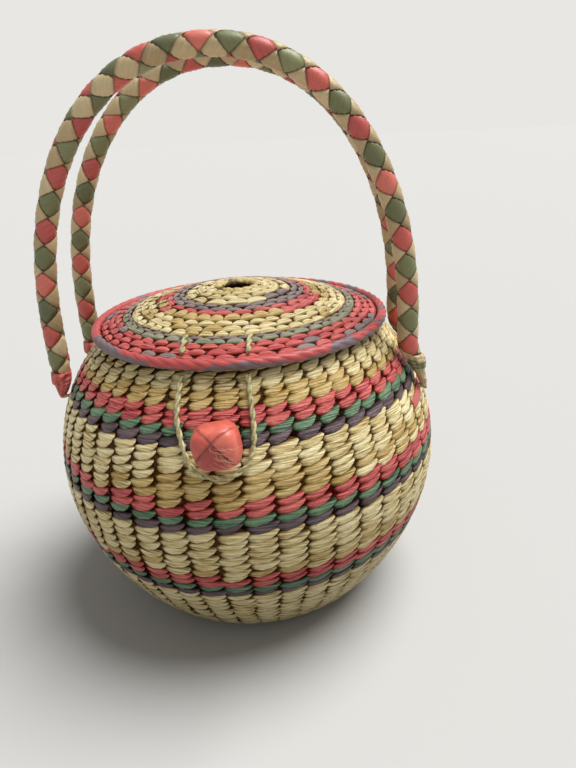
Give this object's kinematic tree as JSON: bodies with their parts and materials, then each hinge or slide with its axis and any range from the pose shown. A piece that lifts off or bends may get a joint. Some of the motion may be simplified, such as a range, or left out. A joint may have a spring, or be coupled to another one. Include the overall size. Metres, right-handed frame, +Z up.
{
  "type": "lidded straw basket",
  "caption": "Round twined straw basket with a hinged domed lid, upright plaited arch handles and a cord loop that hooks under a toggle.",
  "frame": {"origin": "centre of the base's flat underside", "axes": "+Z up through the mouth, -Y towards the toggle, +X to the right as seen from the toggle side"},
  "size_m": [0.2338, 0.2421, 0.3259],
  "materials": {
    "natural": "undyed straw, satin",
    "ochre": "ochre dyed straw, satin",
    "pink": "pink dyed straw, satin",
    "green": "green dyed straw, satin",
    "purple": "dark purple dyed straw, satin",
    "purple_grey": "purple grey dyed straw, satin",
    "olive": "olive green dyed straw, satin",
    "spoke": "undyed straw, dull",
    "plait": "plaited straw strips, beige with red and olive",
    "wrap": "wound straw strips, red and beige",
    "core": "bundled undyed straw, dull",
    "cord": "twisted straw cord, pale green grey",
    "toggle": "folded coral dyed palm strip, satin",
    "rim": "wrapped straw, pink and purple grey"
  },
  "bodies": {
    "basket": {"base_disc": "natural", "foundation_spokes": "spoke", "weft_natural_neck": "natural", "weft_ochre": "ochre", "weft_pink_high": "pink", "weft_green_high": "green", "weft_purple_high": "purple", "weft_natural_mid": "natural", "weft_pink_mid": "pink", "weft_green_mid": "green", "weft_purple_mid": "purple", "weft_natural_low": "natural", "weft_pink_low": "pink", "weft_green_low": "green", "weft_purple_low": "purple", "weft_natural_foot": "natural", "mouth_border": "natural", "toggle": "toggle", "toggle_stem": "cord", "left_hinge_cord": "cord", "right_hinge_cord": "cord", "front_left_anchor": "core", "front_right_anchor": "core", "back_left_anchor": "core", "back_right_anchor": "core"},
    "lid": {"lid_hole_edge": "natural", "lid_spokes": "spoke", "lid_natural_inner": "natural", "lid_purple": "purple_grey", "lid_pink_inner": "pink", "lid_ochre": "ochre", "lid_natural_outer": "natural", "lid_green": "olive", "lid_pink_outer": "pink", "lid_rim": "rim", "left_loop_stitch": "cord", "right_loop_stitch": "cord", "left_hinge_eye": "cord", "right_hinge_eye": "cord"},
    "loop": {"closure_loop": "cord"},
    "front_handle": {"front_core": "core", "front_plait": "plait", "front_left_wrap": "wrap", "front_right_wrap": "wrap"},
    "back_handle": {"back_core": "core", "back_plait": "plait", "back_left_wrap": "wrap", "back_right_wrap": "wrap"}
  },
  "joints": [
    {"name": "lid_hinge", "type": "hinge", "parent": "basket", "child": "lid", "pos_m": [0, 0.08611, 0.17061], "axis": [-1, 0, 0], "range_deg": [0, 34], "deforming": ["closure_loop"]},
    {"name": "loop_swing", "type": "hinge", "parent": "lid", "child": "loop", "pos_m": [0, -0.08535, 0.16917], "axis": [-1, 0, 0], "range_deg": [0, 60], "deforming": ["closure_loop"]},
    {"name": "front_handle_swing", "type": "hinge", "parent": "basket", "child": "front_handle", "pos_m": [0, -0.02792, 0.13755], "axis": [1, 0, 0], "range_deg": [-5, 70]},
    {"name": "back_handle_swing", "type": "hinge", "parent": "basket", "child": "back_handle", "pos_m": [0, 0.02792, 0.13755], "axis": [-1, 0, 0], "range_deg": [-5, 70]}
  ]
}
